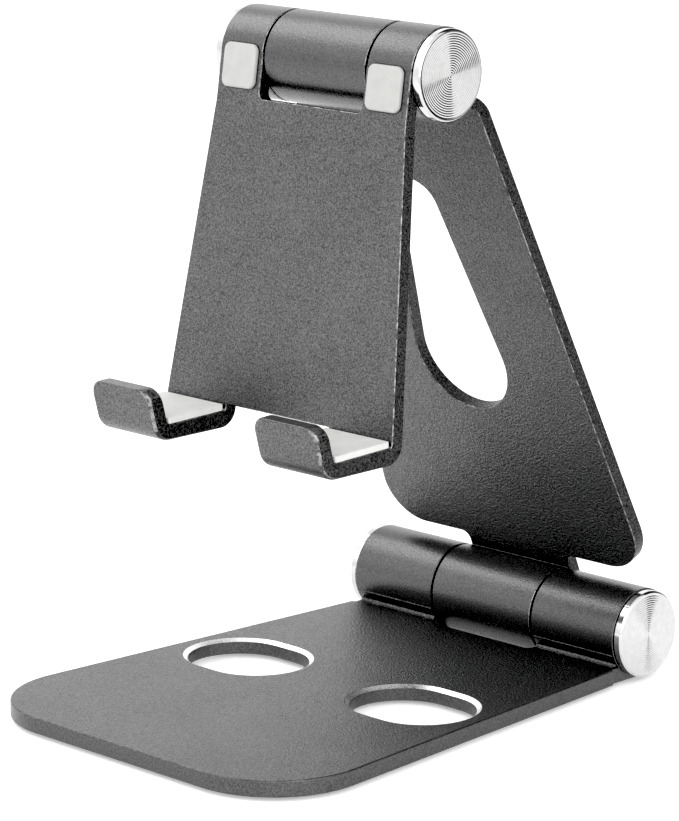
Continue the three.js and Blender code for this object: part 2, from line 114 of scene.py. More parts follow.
# Holder, in its frame on the upper axis: z is up the plate, y into it.
HOLDER_NOTCH = -9.8
HOLDER_TOP = -11.0  # where the sides start to spread
HOLDER_BOTTOM = -75.6
HOLDER_HALF = 33.9
HOOK_INNER_X = 15.3
HOOK_LIP_X = 34.0
HOOK_START_Z = -72.0  # inside the plate
HOOK_BEND = Vector((-28.8, -83.84))  # outer corner between a hook's floor and its lip
HOOK_TIP = Vector((-33.55, -72.75))
HOOK_TIP_INNER_Z = -72.1
HOOK_FLOOR_SLOPE = math.radians(9.4)
LIP_CORNER_R = 3.6
PAD_X = 21.3
PAD_DOWN = {-1: 3.3, 1: 4.0}  # by side: the photograph shows the left pad a little higher
PAD_SIZE, PAD_RECESS = 9.6, 10.1


# ------------------------------------------------------------------ camera


def add_camera():
    """Camera fitted to the edges in the photograph, in metres."""
    azimuth, elevation = math.radians(44.32), math.radians(13.09)
    distance, lens, sensor_width = 0.81796, 164.9, 36.0
    aim_forward, aim_height, aim_left = 0.045, 0.06232, 0.00741
    right = Vector((math.cos(azimuth), math.sin(azimuth), 0))
    back = Vector((math.sin(azimuth), -math.cos(azimuth), 0)) * math.cos(elevation)
    back.z = math.sin(elevation)
    up = back.cross(right)
    target = Vector((0, LOWER_AXIS.y - aim_forward, aim_height)) - right * aim_left
    data = bpy.data.cameras.new("camera")
    data.lens = lens
    data.sensor_width = sensor_width
    data.clip_start = 0.01
    camera = bpy.data.objects.new("camera", data)
    turn = Matrix((right, up, back)).transposed().to_4x4()
    camera.matrix_world = Matrix.Translation(target + back * distance) @ turn
    bpy.context.scene.collection.objects.link(camera)
    bpy.context.scene.camera = camera


add_camera()

# ------------------------------------------------------------------ outlines


def rounded(corners, steps=10):
    """Closed outline from corners (u, v, radius), each rounded by an arc."""
    points = []
    count = len(corners)
    for i, corner in enumerate(corners):
        here = Vector(corner[:2])
        radius = corner[2] if len(corner) > 2 else 0
        if not radius:
            points.append(here)
            continue
        back = (Vector(corners[i - 1][:2]) - here).normalized()
        ahead = (Vector(corners[(i + 1) % count][:2]) - here).normalized()
        half = math.acos(max(-1.0, min(1.0, back.dot(ahead)))) / 2
        start = here + back * (radius / math.tan(half))
        centre = here + (back + ahead).normalized() * (radius / math.sin(half))
        side = 1 if back.x * ahead.y - back.y * ahead.x > 0 else -1
        turn = side * (2 * half - math.pi)
        for k in range(steps + 1):
            spin = Matrix.Rotation(turn * k / steps, 2)
            points.append(centre + spin @ (start - centre))
    return points


def capsule(first, second, steps=32):
    """Outline round two circles (u, v, r) and their common tangents."""
    along = Vector((second[0] - first[0], second[1] - first[1]))
    spread = math.acos((first[2] - second[2]) / along.length)
    heading = math.atan2(along.y, along.x)
    points = []
    arcs = (
        (first, heading + spread, 2 * math.pi - 2 * spread),
        (second, heading - spread, 2 * spread),
    )
    for (u, v, radius), start, sweep in arcs:
        for k in range(steps + 1):
            a = start + sweep * k / steps
            points.append(Vector((u + radius * math.cos(a), v + radius * math.sin(a))))
    return points


def rounded_rect(cu, cv, wide, high, radius, steps=10):
    """Rectangle with equal round corners about the point (cu, cv)."""
    u, v = wide / 2, high / 2
    corners = [(cu + u, cv - v), (cu + u, cv + v), (cu - u, cv + v), (cu - u, cv - v)]
    return rounded([(a, b, radius) for a, b in corners], steps)


def mirrored(points):
    """The points on the other side of the middle plane, in the opposite order."""
    return [(-x, *rest) for x, *rest in reversed(points)]


def area(points):
    """Area inside an outline, negative if it runs clockwise."""
    total = 0.0
    for i, p in enumerate(points):
        q = points[(i + 1) % len(points)]
        total += p.x * q.y - q.x * p.y
    return total / 2


SHARPEST_MITRE = 0.3


def grown(points, distance):
    """The outline moved outwards by a distance; inwards if the distance is negative."""
    sign = 1 if area(points) > 0 else -1
    count = len(points)
    result = []
    for i, p in enumerate(points):
        before = (p - points[i - 1]).normalized()
        after = (points[(i + 1) % count] - p).normalized()
        n1 = Vector((before.y, -before.x)) * sign
        n2 = Vector((after.y, -after.x)) * sign
        mitre = (n1 + n2).normalized()
        result.append(p + mitre * (distance / max(SHARPEST_MITRE, mitre.dot(n1))))
    return result


# ------------------------------------------------------------------ meshes in millimetres

PLATE, WALL, TURNED, BARE_AND_HIGHLIGHT, GLINT = range(5)  # finishes of a metal piece, in slot order

PLANES = {
    "XY": lambda u, v, w: (u, v, w),
    "XZ": lambda u, v, w: (u, w, v),
    "YZ": lambda u, v, w: (w, u, v),
}


def edge_steps(low, high, edge):
    """(inset, level) pairs up a wall whose two edges are rounded."""
    turns = [math.pi / 2 * k / EDGE_STEPS for k in range(EDGE_STEPS + 1)]
    pairs = [(edge * (1 - math.sin(a)), low + edge * (1 - math.cos(a))) for a in turns]
    pairs += [(edge * (1 - math.cos(a)), high - edge * (1 - math.sin(a))) for a in turns]
    return pairs


def band_finish(band, count, wall):
    """Finish of one of a side wall's bands: a painted highlight half way round the two edges, sawn between them.
    A wall with fewer bands, such as a chamfered hole's, has one finish."""
    if not wall:
        return PLATE
    if count < 2 * EDGE_STEPS + 1:
        return wall
    # painted highlight on the bands half way round each rounded edge
    if band in (1, 2, count - 3, count - 2):
        return GLINT
    return wall if EDGE_STEPS - 1 <= band <= count - EDGE_STEPS else PLATE


def slab(outer, low, high, plane="XY", edge=EDGE, holes=(), hole_steps=None, bare=None, wall=PLATE):
    """Plate with rounded edges. hole_steps gives the (inset, level) pairs of the hole walls, bare
    the wall band of a hole that is left as bare metal, and wall the finish of the side walls."""
    place = PLANES[plane]
    bm = bmesh.new()
    walls = [(outer, -1, edge_steps(low, high, edge))]
    for hole in holes:
        walls.append((hole, 1, hole_steps or edge_steps(low, high, edge)))
    lids = {0: [], -1: []}
    for number, (loop, side, pairs) in enumerate(walls):
        rings = []
        for inset, level in pairs:
            points = grown(loop, side * inset)
            rings.append([bm.verts.new(place(p.x, p.y, level)) for p in points])
        for k in range(len(rings) - 1):
            for i in range(len(loop)):
                j = (i + 1) % len(loop)
                face = bm.faces.new((rings[k][i], rings[k][j], rings[k + 1][j], rings[k + 1][i]))
                face.material_index = band_finish(k, len(pairs) - 1, wall)
                if number > 0 and k == bare:
                    face.material_index = BARE_AND_HIGHLIGHT
        for end in (0, -1):
            lids[end].append((rings[end], grown(loop, side * pairs[end][0])))
    for loops in lids.values():
        flat = [v for verts, _ in loops for v in verts]
        outlines = [[Vector((p.x, p.y, 0)) for p in points] for _, points in loops]
        for tri in tessellate_polygon(outlines):
            bm.faces.new([flat[i] for i in tri])
    bmesh.ops.recalc_face_normals(bm, faces=bm.faces)
    return bm


def lathe_x(profile, segments=160, finish=PLATE):
    """Solid turned about X from a closed loop of (x, r); r of 0 is a point on the axis."""
    bm = bmesh.new()
    rings = []
    for x, r in profile:
        if r == 0:
            rings.append([bm.verts.new((x, 0, 0))])
            continue
        ring = []
        for k in range(segments):
            a = 2 * math.pi * k / segments
            ring.append(bm.verts.new((x, r * math.cos(a), r * math.sin(a))))
        rings.append(ring)
    for k, ring in enumerate(rings):
        following = rings[(k + 1) % len(rings)]
        if len(ring) == 1 and len(following) == 1:
            continue
        for i in range(segments):
            j = (i + 1) % segments
            corners = [ring[i % len(ring)], ring[j % len(ring)]]
            corners += [following[j % len(following)], following[i % len(following)]]
            unique = list(dict.fromkeys(corners))
            bm.faces.new(unique).material_index = finish
    bmesh.ops.recalc_face_normals(bm, faces=bm.faces)
    return bm


def rounded_profile(profile, radii):
    """Turned profile with each corner rounded by its own radius."""
    corners = [(x, r, radius) for (x, r), radius in zip(profile, radii)]
    return [(p.x, p.y) for p in rounded(corners, steps=4)]


MERGE_DISTANCE = 1e-4
DEGENERATE = 1e-5


def to_object(name, bm):
    """Object in the scene from a mesh under construction, which is used up."""
    mesh = bpy.data.meshes.new(name)
    bm.to_mesh(mesh)
    bm.free()
    obj = bpy.data.objects.new(name, mesh)
    bpy.context.scene.collection.objects.link(obj)
    return obj


def combine(target, others, operation):
    """Boolean of target with each of the others in turn; they are used up."""
    for other in others:
        tool = to_object("tool", other)
        for slot in target.data.materials:
            tool.data.materials.append(slot)
        modifier = target.modifiers.new("cut", "BOOLEAN")
        modifier.operation = operation
        modifier.solver = "EXACT"
        modifier.object = tool
        bpy.context.view_layer.update()
        graph = bpy.context.evaluated_depsgraph_get()
        mesh = bpy.data.meshes.new_from_object(target.evaluated_get(graph))
        target.modifiers.clear()
        old = target.data
        target.data = mesh
        bpy.data.meshes.remove(old)
        bpy.data.objects.remove(tool)


def wear(obj, materials):
    """Gives a piece its materials, in slot order."""
    for material in materials:
        obj.data.materials.append(material)


def finish_piece(obj, place, body, replaced, materials, sharp=35):
    """Edges sharper than the angle sharp stay sharp."""
    bm = bmesh.new()
    bm.from_mesh(obj.data)
    bmesh.ops.remove_doubles(bm, verts=bm.verts, dist=MERGE_DISTANCE)
    bmesh.ops.dissolve_degenerate(bm, edges=bm.edges, dist=DEGENERATE)
    bmesh.ops.transform(bm, matrix=place @ Matrix.Scale(MM, 4), verts=bm.verts)
    bmesh.ops.recalc_face_normals(bm, faces=bm.faces)
    bm.to_mesh(obj.data)
    bm.free()
    if not obj.data.materials:
        wear(obj, materials)
    obj.data.shade_smooth()
    obj.data.set_sharp_from_angle(angle=math.radians(sharp))
    weighted = obj.modifiers.new("weighted", "WEIGHTED_NORMAL")
    weighted.weight = 100
    weighted.keep_sharp = True
    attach(obj, body)
    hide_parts(*replaced)


# ------------------------------------------------------------------ materials


class Wiring:
    """Short way to add and connect the nodes of a tree."""

    def __init__(self, tree):
        self.tree = tree

    def add(self, kind, operation=None):
        node = self.tree.nodes.new(kind)
        if operation:
            node.operation = operation
        return node

    def link(self, source, target):
        self.tree.links.new(source, target)

    def feed(self, socket, value):
        """Sets a socket to a number or a colour, or links it to another node's output."""
        if isinstance(value, (int, float, tuple)):
            socket.default_value = value
        else:
            self.link(value, socket)

    def math(self, operation, a, b):
        node = self.add("ShaderNodeMath", operation)
        self.feed(node.inputs[0], a)
        self.feed(node.inputs[1], b)
        return node.outputs[0]


class Nodes(Wiring):
    """Node tree of a new material."""

    def __init__(self, name):
        self.material = bpy.data.materials.new(name)
        self.material.use_nodes = True
        super().__init__(self.material.node_tree)
        self.shader = self.tree.nodes["Principled BSDF"]
        self.coords = self.add("ShaderNodeTexCoord").outputs["Object"]

    def noise(self, scale, detail, roughness):
        node = self.add("ShaderNodeTexNoise")
        node.inputs["Scale"].default_value = scale
        node.inputs["Detail"].default_value = detail
        node.inputs["Roughness"].default_value = roughness
        self.link(self.coords, node.inputs["Vector"])
        return node.outputs["Fac"]

    def ramp(self, source, stops):
        """Source turned into greys or colours by two (place, value) stops."""
        node = self.add("ShaderNodeValToRGB")
        for element, (place, value) in zip(node.color_ramp.elements, stops):
            element.position = place
            colour = value if isinstance(value, tuple) else (value, value, value)
            element.color = (*colour, 1)
        self.link(source, node.inputs["Fac"])
        return node.outputs["Color"]

    def bump(self, height, strength, distance, normal=None):
        node = self.add("ShaderNodeBump")
        node.inputs["Strength"].default_value = strength
        node.inputs["Distance"].default_value = distance
        self.link(height, node.inputs["Height"])
        if normal:
            self.link(normal, node.inputs["Normal"])
        return node.outputs["Normal"]

    def set(self, **values):
        """Feeds the shader's inputs and returns the finished material."""
        for key, value in values.items():
            self.feed(self.shader.inputs[key.replace("_", " ")], value)
        return self.material


def anodised(name, low, high, rough, grain):
    """Dark grey anodised aluminium between two brightnesses, with a fine blasted grain."""
    n = Nodes(name)
    fine = n.ramp(n.noise(2900, 2.0, 0.7), [(0.38, 0.0), (0.62, 1.0)])
    cloud = n.noise(60, 3.0, 0.55)
    tone = n.math("ADD", n.math("MULTIPLY", fine, 0.7), n.math("MULTIPLY", cloud, 0.3))
    colour = n.ramp(tone, [(0.15, low), (0.85, high)])
    spread = n.ramp(n.noise(2000, 3.0, 0.6), [(0.3, rough * 0.86), (0.7, rough * 1.14)])
    pits = n.bump(n.noise(4200, 2.0, 0.6), grain, 0.00012)
    normal = n.bump(n.noise(1900, 2.0, 0.6), grain, 0.00028, pits)
    return n.set(Base_Color=colour, Metallic=1.0, Roughness=spread, Normal=normal)


def sawn_edge(name, low, high, rough, pitting):
    """Cut edge of the plate: same colour, pitted and sparkling."""
    n = Nodes(name)
    colour = n.ramp(n.noise(2400, 2.0, 0.7), [(0.38, low), (0.62, high)])
    spread = n.ramp(n.noise(1500, 2.0, 0.6), [(0.3, rough * 0.8), (0.7, rough * 1.2)])
    pits = n.bump(n.noise(2400, 3.0, 0.7), pitting, 0.00030)
    return n.set(Base_Color=colour, Metallic=1.0, Roughness=spread, Normal=pits)


def painted_glint_edge(name, high):
    """Painted highlight along a rounded corner: a broken bright line, lighter than the plate."""
    n = Nodes(name)
    colour = n.ramp(n.noise(800, 3.0, 0.7), [(0.40, 0.07), (0.62, high)])
    spread = n.ramp(n.noise(2000, 2.0, 0.6), [(0.3, 0.30), (0.7, 0.42)])
    normal = n.bump(n.noise(2400, 2.0, 0.6), 0.25, 0.00015)
    return n.set(Base_Color=colour, Metallic=1.0, Roughness=spread, Normal=normal)


def bare_aluminium(name):
    """Machined chamfer left bright. On the base's notch floor the same material is a painted highlight."""
    n = Nodes(name)
    tone = n.ramp(n.noise(1500, 3.0, 0.6), [(0.3, 0.72), (0.7, 0.92)])
    rough = n.ramp(n.noise(2500, 2.0, 0.6), [(0.3, 0.22), (0.7, 0.38)])
    normal = n.bump(n.noise(2500, 2.0, 0.5), 0.08, 0.00006)
    return n.set(Base_Color=tone, Metallic=1.0, Roughness=rough, Normal=normal)


def spun_metal(name):
    """Turned cap: its rings are in the mesh, this gives their polish."""
    n = Nodes(name)
    tone = n.ramp(n.noise(700, 3.0, 0.6), [(0.3, 0.52), (0.7, 0.58)])
    rough = n.ramp(n.noise(1800, 2.0, 0.6), [(0.3, 0.09), (0.7, 0.15)])
    return n.set(Base_Color=tone, Metallic=1.0, Roughness=rough)


def silicone(name, low, high, tint=(1.0, 1.0, 0.975)):
    """Matt rubber or plastic between two brightnesses of a tint."""
    n = Nodes(name)
    dark, light = (tuple(level * c for c in tint) for level in (low, high))
    colour = n.ramp(n.noise(300, 3.0, 0.6), [(0.3, dark), (0.7, light)])
    rough = n.ramp(n.noise(900, 2.0, 0.5), [(0.3, 0.55), (0.7, 0.68)])
    normal = n.bump(n.noise(2600, 2.0, 0.6), 0.10, 0.00006)
    return n.set(Base_Color=colour, Roughness=rough, Normal=normal)


def plated(name, low, high, rough):
    """Steel of the hidden hardware."""
    n = Nodes(name)
    tone = n.ramp(n.noise(500, 4.0, 0.6), [(0.3, low), (0.7, high)])
    spread = n.ramp(n.noise(1200, 2.0, 0.6), [(0.3, rough * 0.8), (0.7, rough * 1.2)])
    normal = n.bump(n.noise(2200, 2.0, 0.6), 0.08, 0.00006)
    return n.set(Base_Color=tone, Metallic=1.0, Roughness=spread, Normal=normal)


BRIGHT = bare_aluminium("bright_chamfer")


def finishes(name, tone, grain, edge, painted_glint):
    """Plate face, cut edge, turned barrel, bare chamfer (on the base's notch floor a painted highlight) and
    painted edge highlight of one metal piece. edge is the cut edge's (low, high, rough, pitting) and painted_glint
    the brightness of that painted highlight."""
    return [
        anodised(name + "_plate", 0.062 * tone, 0.168 * tone, 0.32, grain),
        sawn_edge(name + "_edge", *edge),
        anodised(name + "_barrel", 0.080, 0.125, 0.28, 0.18),
        BRIGHT,
        # painted highlight for the rounded edges, lighter than the plate
        painted_glint_edge(name + "_worn", painted_glint),
    ]


BASE_FINISH = finishes("base", tone=1.05, grain=1.0, edge=(0.07, 0.125, 0.36, 0.20), painted_glint=0.14)
ARM_FINISH = finishes("arm", tone=1.13, grain=0.90, edge=(0.01, 0.085, 0.28, 0.90), painted_glint=0.31)
HOLDER_FINISH = finishes("holder", tone=0.99, grain=0.40, edge=(0.005, 0.085, 0.28, 0.95),
                         painted_glint=0.32)
CAP_METAL = spun_metal("cap_spun_metal")
PAD = silicone("pad_silicone", 0.37, 0.41)
# the same silicone as the top pads, painted lighter for the light falling on the hook pads from above
HOOK_PAD_PAINTED_LIGHTER = silicone("hook_pad_silicone_painted_lighter", 0.52, 0.57)
FOOT = silicone("foot_silicone", 0.025, 0.035, (1.0, 1.0, 1.0))
ZINC = plated("zinc_plate", 0.55, 0.68, 0.32)
SPRING = plated("spring_steel", 0.30, 0.38, 0.4)
NYLON = silicone("nylon", 0.74, 0.80, (1.0, 0.99, 0.95))

# ------------------------------------------------------------------ hinge barrels


def paint_end_glints(bm):
    """Paints a highlight on the rounded outer corners of a barrel."""
    for face in bm.faces:
        centre = face.calc_center_median()
        outside = math.hypot(centre.y, centre.z) > BARREL_R - 0.4
        if outside and 0.25 < abs(face.normal.x) < 0.97:
            face.material_index = GLINT
    return bm


def outer_barrel(end, pocket, side):
    """Outer barrel with its washer seat, bore and pocket, its edges slightly rounded."""
    seat = OUTER_START + SEAT_DEEP
    profile = [
        (OUTER_START, BARREL_R), (end, BARREL_R), (end, POCKET_R), (pocket, POCKET_R),
        (pocket, BORE_R), (seat, BORE_R), (seat, SEAT_R), (OUTER_START, SEAT_R),
    ]
    radii = [BARREL_EDGE, BARREL_EDGE, 0.15, 0, 0, 0, 0, 0.15]
    loop = rounded_profile([(side * x, r) for x, r in profile], radii)
    return paint_end_glints(lathe_x(loop, finish=TURNED))


def centre_barrel():
    """Centre barrel about the origin."""
    half = CENTRE_HALF - CENTRE_SHORT
    profile = [(-half, BARREL_R), (half, BARREL_R), (half, BORE_R), (-half, BORE_R)]
    loop = rounded_profile(profile, [BARREL_EDGE, BARREL_EDGE, 0.1, 0.1])
    return paint_end_glints(lathe_x(loop, finish=TURNED))


def shifted(bm, z):
    """The mesh moved up."""
    bmesh.ops.translate(bm, verts=bm.verts, vec=(0, 0, z))
    return bm


def span(side, near, far):
    """The range of x between two distances from the middle plane on one side, low end first."""
    return sorted((side * near, side * far))


def pocket_cutter(side):
    """Bar that clears what the plate leaves inside a lower outer barrel's pocket."""
    x0, x1 = span(side, LOWER_POCKET, LOWER_END + 1)
    profile = [(x0, 0), (x0, POCKET_R), (x1, POCKET_R), (x1, 0)]
    return shifted(lathe_x(profile, segments=96), AXIS_Z)


# ------------------------------------------------------------------ base


def base_outline():
    """Plate from above: it narrows to the rear, with a step beside each outer barrel."""
    flare = (BASE_HALF - LOWER_END) / -BASE_FRONT
    shoulder = LOWER_END - flare * BASE_RELIEF
    front = (BASE_HALF, BASE_FRONT, BASE_CORNER_R)
    rear = [
        (shoulder, BASE_RELIEF, 0.3), (LOWER_END, BASE_RELIEF, 0.1), (LOWER_END, BASE_REAR),
        (OUTER_START, BASE_REAR), (OUTER_START, BASE_NOTCH, 1.5),
    ]
    return rounded(mirrored([front]) + [front] + rear + mirrored(rear), 24)


def base_hole(side):
    """Oval opening for a hook's lip."""
    x = side * HOLE_X
    return capsule((x - HOLE_SHIFT, HOLE_Y, HOLE_R), (x + HOLE_SHIFT, HOLE_Y, HOLE_R))


def junction_strip(x0, x1):
    """Small fillet where a barrel stands on the plate."""
    corners = [
        (-8.75, BASE_TOP - 0.5), (-8.75, BASE_TOP + 0.05, 0.04), (-8.45, BASE_TOP + 0.22, 0.1),
        (-8.30, BASE_TOP + 0.60, 0.1), (-8.15, BASE_TOP + 0.75), (-7.2, BASE_TOP - 0.5),
    ]
    return slab(rounded(corners, 4), x0, x1, "YZ", CUT_EDGE)


def bead(x0, x1, y, z):
    """Fine raised line along X where a plate meets a barrel."""
    radius, sides = 0.14, 12
    turns = [2 * math.pi * k / sides for k in range(sides)]
    ring = [Vector((y + radius * math.cos(a), z + radius * math.sin(a))) for a in turns]
    return slab(ring, x0, x1, "YZ", CUT_EDGE)


def paint_notch_highlight(base):
    """Paints a highlight on the floor of the notch with the bright material of the hole chamfers."""
    for face in base.data.polygons:
        x, y, z = face.center
        on_floor = BASE_NOTCH - 0.6 < y < BASE_NOTCH + 0.4 and z > BASE_TOP - 0.3
        if on_floor and abs(x) < OUTER_START and face.normal.y > 0.2:
            # painted highlight on the notch floor
            face.material_index = BARE_AND_HIGHLIGHT


def build_base():
    top = BASE_TOP
    hole_steps = [(0.30, FOOT_DROP), (0.0, FOOT_DROP + 0.3), (0.0, top - 0.78), (0.03, top - 0.70),
                  (1.05, top - 0.03), (1.16, top)]
    chamfer = 3
    plate = slab(base_outline(), FOOT_DROP, top, holes=[base_hole(-1), base_hole(1)],
                 hole_steps=hole_steps, bare=chamfer, wall=WALL)
    base = to_object("base_plate_body", plate)
    wear(base, BASE_FINISH)
    extras = []
    for side in SIDES.values():
        extras.append(shifted(outer_barrel(LOWER_END, LOWER_POCKET, side), AXIS_Z))
        x0, x1 = span(side, OUTER_START + 0.3, LOWER_END - 0.5)
        extras.append(junction_strip(x0, x1))
        extras.append(bead(x0, x1, *BASE_BEAD))
    combine(base, extras, "UNION")
    paint_notch_highlight(base)
    cuts = [pocket_cutter(side) for side in SIDES.values()]
    for x, y in FEET.values():
        cuts.append(slab(rounded_rect(x, y, *FOOT_RECESS, 3.8), -1, 1.5, edge=CUT_EDGE))
    combine(base, cuts, "DIFFERENCE")
    finish_piece(base, BASE_FRAME, "base", ["base_plate"], BASE_FINISH)


def build_feet():
    for name, (x, y) in FEET.items():
        outline = rounded_rect(x, y, *FOOT_SIZE, 3.5)
        foot = to_object(name + "_pad", slab(outline, 0, 1.2, edge=0.3))
        finish_piece(foot, BASE_FRAME, "base", [name], [FOOT])


# ------------------------------------------------------------------ arm


def build_arm():
    right = [
        (CENTRE_HALF, 0), (CENTRE_HALF, ARM_FOOT, 2.0), (ARM_HALF_LOW, ARM_FOOT, 10.0),
        (ARM_HALF_HIGH, ARM_SHOULDER, 4.0), (CENTRE_HALF, ARM_SHOULDER, 2.0),
        (CENTRE_HALF, ARM_LENGTH),
    ]
    outline = rounded(right + mirrored(right), 20)
    inner = BARREL_R - PLATE_THICK
    plate = slab(outline, inner, BARREL_R, "XZ", holes=[capsule(*WINDOW, 48)], wall=WALL)
    arm = to_object("support_arm_body", plate)
    wear(arm, ARM_FINISH)
    rise = math.sqrt(BARREL_R ** 2 - inner ** 2)
    neck = CENTRE_HALF - 0.4
    extras = [centre_barrel(), shifted(centre_barrel(), ARM_LENGTH)]
    extras += [bead(-neck, neck, inner, z) for z in (rise, ARM_LENGTH - rise)]
    combine(arm, extras, "UNION")
    finish_piece(arm, ARM_FRAME, "arm", ["support_arm"], ARM_FINISH)


# ------------------------------------------------------------------ holder


def line_crossing(p, d, q, e):
    """Where the line through p along d meets the line through q along e."""
    t = ((q.x - p.x) * e.y - (q.y - p.y) * e.x) / (d.x * e.y - d.y * e.x)
    return p + d * t


def hook_lines():
    """Outer and inner corner points of a hook in (y, z) of the holder: plate, floor and lip."""
    rear = PLATE_THICK - BARREL_R
    floor_run = rear - HOOK_BEND.x
    heel = Vector((rear, HOOK_BEND.y + floor_run * math.tan(HOOK_FLOOR_SLOPE)))
    outer = [Vector((rear, HOOK_START_Z)), heel, HOOK_BEND, HOOK_TIP]
    thicknesses = ((PLATE_THICK, PLATE_THICK), (3.8, 3.55), (3.6, 3.6))  # at each line's two ends
    faces = []
    for a, b, (first, last) in zip(outer, outer[1:], thicknesses):
        along = (b - a).normalized()
        inward = Vector((along.y, -along.x))
        start, end = a + inward * first, b + inward * last
        faces.append((start, (end - start).normalized()))
    plate, floor, lip = faces
    tip = lip[0] + lip[1] * ((HOOK_TIP_INNER_Z - lip[0].y) / lip[1].y)
    inner = [plate[0], line_crossing(*plate, *floor), line_crossing(*floor, *lip), tip]
    return outer, inner


def hook_stations():
    """Pairs of matching points along the outer and the inner line, with both bends rounded."""
    rounded_lines = []
    for line, radii in zip(hook_lines(), ((4.4, 4.8), (0.6, 1.4))):
        start, heel, bend, tip = ((*point,) for point in line)
        rounded_lines.append(rounded([start, (*heel, radii[0]), (*bend, radii[1]), tip], 14))
    return list(zip(*rounded_lines))


def refine_tip(stations):
    """Replaces the last step by finer ones that crowd towards the tip of the lip."""
    count, crowding = 26, 1.8
    (outer, inner), (outer_tip, inner_tip) = stations[-2:]
    finer = []
    for k in range(1, count + 1):
        f = 1 - (1 - k / count) ** crowding
        finer.append((outer.lerp(outer_tip, f), inner.lerp(inner_tip, f)))
    return stations[:-1] + finer


def hook_progress(spot):
    """0 on the plate, 1 from the middle of the hook's floor to the lip."""
    start, run = -8.0, 14.0
    return max(0.0, min(1.0, (start - spot.x) / run))


def hook_edge_x(spot):
    """Outer side of a hook, flush with the plate at the bend."""
    spread = (HOLDER_HALF - UPPER_END) / (HOLDER_TOP - HOLDER_BOTTOM)
    lowest = -76.0  # the plate's sides spread no further than this
    plate = UPPER_END + (HOLDER_TOP - max(spot.y, lowest)) * spread
    return plate + (HOOK_LIP_X - plate) * hook_progress(spot)


def hook_section(half_width, thick, front_edge):
    """Cross-section of a hook: its outer corners are rounded more than its inner ones."""
    v, inner_edge = thick / 2, EDGE * 0.98
    return rounded([(half_width, -v, front_edge), (half_width, v, inner_edge),
                    (-half_width, v, inner_edge), (-half_width, -v, front_edge)], 6)


def quarter_round(left, radius):
    """How far a rounded end draws in at a distance from its tip."""
    if left > radius:
        return 0.0
    return radius - math.sqrt(max(0.0, radius ** 2 - (radius - left) ** 2))


def hook_piece(side):
    """Bent tab: rounded cross-sections lofted along the hook, with round lip corners."""
    stations = refine_tip(hook_stations())
    tip = (stations[-1][0] + stations[-1][1]) / 2
    bm = bmesh.new()
    rings = []
    for outer, inner in stations:
        spot = (outer + inner) / 2
        depth = inner - outer
        left = (spot - tip).length
        edge_x = hook_edge_x(spot)
        half = (edge_x - HOOK_INNER_X) / 2
        middle = side * (edge_x + HOOK_INNER_X) / 2
        width = half - quarter_round(left, LIP_CORNER_R)
        thick = depth.length - 2 * quarter_round(left, EDGE)
        front_edge = EDGE + 0.75 * hook_progress(spot)
        ring = []
        for p in hook_section(width, thick, front_edge):
            place = spot + depth.normalized() * p.y
            ring.append(bm.verts.new((middle + p.x, place.x, place.y)))
        rings.append(ring)
    for ring, following in zip(rings, rings[1:]):
        for i in range(len(ring)):
            j = (i + 1) % len(ring)
            bm.faces.new((ring[i], ring[j], following[j], following[i]))
    bm.faces.new(rings[0])
    bm.faces.new(list(reversed(rings[-1])))
    bmesh.ops.recalc_face_normals(bm, faces=bm.faces)
    side_wall, rounding = 0.9, 0.35  # how far across a face has to point
    for face in bm.faces:
        across = abs(face.normal.x)
        # faces on the roundings between the sides and the front get the painted highlight
        face.material_index = WALL if across > side_wall else GLINT if across > rounding else PLATE
    return bm


def build_holder():
    notch_x = OUTER_START - 0.2
    notch = [(notch_x, 0), (notch_x, HOLDER_NOTCH, 1.5)]
    right = [(HOLDER_HALF, HOLDER_BOTTOM, 0.5), (UPPER_END, HOLDER_TOP, 30), (UPPER_END, 0)]
    outline = rounded(notch + mirrored(notch) + mirrored(right) + right, 12)
    plate = slab(outline, -BARREL_R, PLATE_THICK - BARREL_R, "XZ", wall=WALL)
    holder = to_object("device_holder_body", plate)
    wear(holder, HOLDER_FINISH)
    extras = [outer_barrel(UPPER_END, UPPER_POCKET, side) for side in SIDES.values()]
    extras += [hook_piece(side) for side in SIDES.values()]
    combine(holder, extras, "UNION")
    cuts = []
    for side in SIDES.values():
        recess = rounded_rect(side * PAD_X, -PAD_DOWN[side], PAD_RECESS, PAD_RECESS, 1.9)
        cuts.append(slab(recess, -13, -9.6, "XZ", CUT_EDGE))
    combine(holder, cuts, "DIFFERENCE")
    finish_piece(holder, HOLDER_FRAME, "holder", ["device_holder"], HOLDER_FINISH)


def build_top_pads():
    for word, side in SIDES.items():
        outline = rounded_rect(side * PAD_X, -PAD_DOWN[side], PAD_SIZE, PAD_SIZE, 1.7)
        pad = to_object(f"top_pad_{word}_soft", slab(outline, -11.0, -9.65, "XZ", 0.5))
        finish_piece(pad, HOLDER_FRAME, "holder", [f"top_pad_{word}"], [PAD])


def build_hook_pads():
    """Pads laid on the hooks' floors, from near the plate to near the lip."""
    _, heel, bend, _ = hook_lines()[1]
    along = (bend - heel).normalized()
    up = Vector((along.y, -along.x))
    turn = Matrix(((1, 0, 0), (0, along.x, up.x), (0, along.y, up.y))).to_4x4()
    place = Matrix.Translation((0, heel.x, heel.y)) @ turn
    near, far = HOOK_INNER_X + 0.15, HOOK_LIP_X - 0.15
    start, end = 0.45, (bend - heel).length - 0.35
    for word, side in SIDES.items():
        corners = [(near, start), (far - 0.15, start), (far, end), (near, end)]
        outline = rounded([(side * x, y, 0.5) for x, y in corners])
        bm = slab(outline, 0.03, 1.45, edge=0.2)
        bmesh.ops.transform(bm, matrix=place, verts=bm.verts)
        pad = to_object(f"hook_pad_{word}_soft", bm)
        finish_piece(pad, HOLDER_FRAME, "holder", [f"hook_pad_{word}"], [HOOK_PAD_PAINTED_LIGHTER])


# ------------------------------------------------------------------ caps


